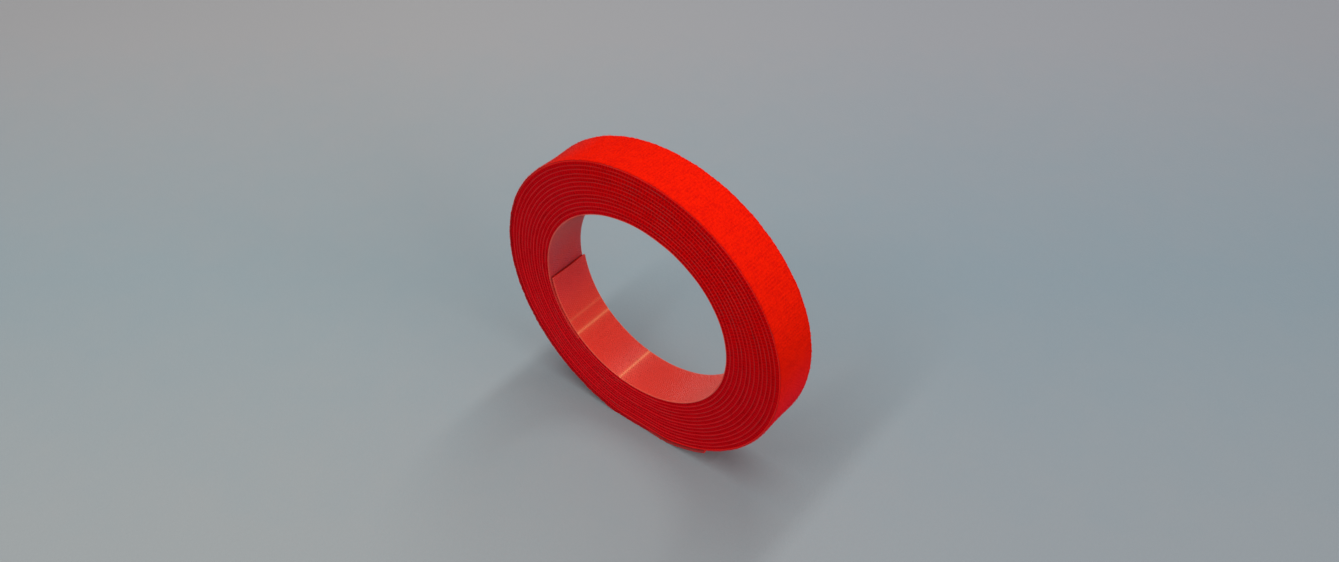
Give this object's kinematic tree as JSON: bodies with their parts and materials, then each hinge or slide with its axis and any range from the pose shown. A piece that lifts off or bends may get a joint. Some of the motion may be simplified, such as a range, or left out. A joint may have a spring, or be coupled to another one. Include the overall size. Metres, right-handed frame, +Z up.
{
  "type": "hook and loop tape roll",
  "caption": "Coreless roll of back-to-back hook and loop tape standing on its rim, with both free ends peeling off in hinged links.",
  "frame": {"origin": "on the ground, under the middle of the roll", "axes": "+Z up, +Y along the winding's axis towards the back face, +X to the right seen from the front"},
  "size_m": [0.1082, 0.016, 0.1051],
  "materials": {
    "film": "satin moulded film with fine hooks",
    "bond": "thin clear-set adhesive, seen only on its edge",
    "cloth": "matt napped loop cloth with fine cross ribs"
  },
  "bodies": {
    "coil": {"hook_film": "film", "lamination_bond": "bond", "loop_cloth": "cloth"},
    "outer_end_1": {"outer_end_film_1": "film", "outer_end_bond_1": "bond", "outer_end_cloth_1": "cloth"},
    "outer_end_2": {"outer_end_film_2": "film", "outer_end_bond_2": "bond", "outer_end_cloth_2": "cloth"},
    "outer_end_3": {"outer_end_film_3": "film", "outer_end_bond_3": "bond", "outer_end_cloth_3": "cloth"},
    "inner_end_1": {"inner_end_film_1": "film", "inner_end_bond_1": "bond", "inner_end_cloth_1": "cloth"},
    "inner_end_2": {"inner_end_film_2": "film", "inner_end_bond_2": "bond", "inner_end_cloth_2": "cloth"}
  },
  "joints": [
    {"name": "outer_peel", "type": "hinge", "parent": "coil", "child": "outer_end_1", "pos_m": [0.00746, 0, 0.00009], "axis": [0, 1, 0], "range_deg": [0, 9]},
    {"name": "outer_bend_2", "type": "hinge", "parent": "outer_end_1", "child": "outer_end_2", "pos_m": [0.01436, 0, 0.00147], "axis": [0, 1, 0], "range_deg": [0, 6.3]},
    {"name": "outer_bend_3", "type": "hinge", "parent": "outer_end_2", "child": "outer_end_3", "pos_m": [0.02115, 0, 0.00318], "axis": [0, 1, 0], "range_deg": [0, 6.3]},
    {"name": "inner_lift", "type": "hinge", "parent": "coil", "child": "inner_end_1", "pos_m": [-0.02614, 0, 0.0279], "axis": [0, 1, 0], "range_deg": [0, 30]},
    {"name": "inner_bend_2", "type": "hinge", "parent": "inner_end_1", "child": "inner_end_2", "pos_m": [-0.03251, 0, 0.0365], "axis": [0, 1, 0], "range_deg": [0, 15]}
  ],
  "couplings": [
    {"joint": "outer_bend_2", "follows": "outer_peel", "ratio": 0.7},
    {"joint": "outer_bend_3", "follows": "outer_peel", "ratio": 0.7},
    {"joint": "inner_bend_2", "follows": "inner_lift", "ratio": 0.5}
  ]
}
